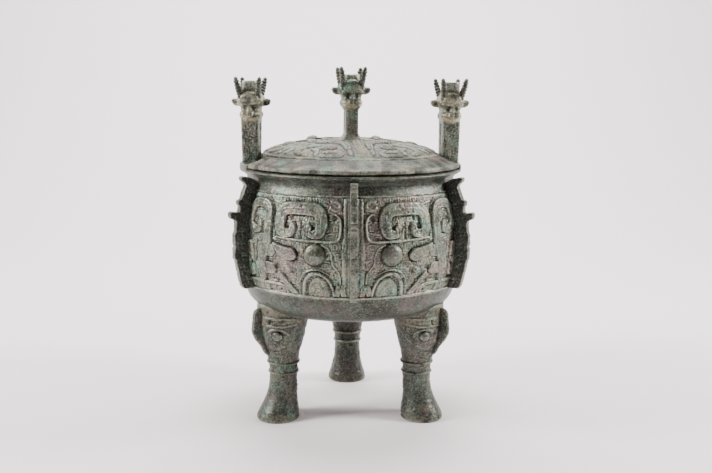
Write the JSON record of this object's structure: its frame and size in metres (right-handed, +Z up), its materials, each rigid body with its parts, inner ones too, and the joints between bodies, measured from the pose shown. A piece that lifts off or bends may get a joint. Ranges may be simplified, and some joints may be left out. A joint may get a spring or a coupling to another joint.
{
  "type": "tripod vessel",
  "caption": "Round bronze tripod cauldron with beast-headed ear posts, flanges and mask carving, and a lift-off domed lid with a beast-headed knob.",
  "frame": {"origin": "centre of the bounding box on the plane the three feet stand on, which is also the bowl's axis", "axes": "+Z up, -Y towards the front, where a mask is between the two front legs; +X towards the ear post on the viewer's right"},
  "size_m": [0.1954, 0.2178, 0.2836],
  "materials": {
    "vessel_bronze": "aged bronze with grey-green patina, brown and turquoise patches",
    "lid_bronze": "aged bronze with pale grey-green patina"
  },
  "bodies": {
    "root": {"vessel": "vessel_bronze", "lid": "lid_bronze"}
  },
  "joints": []
}
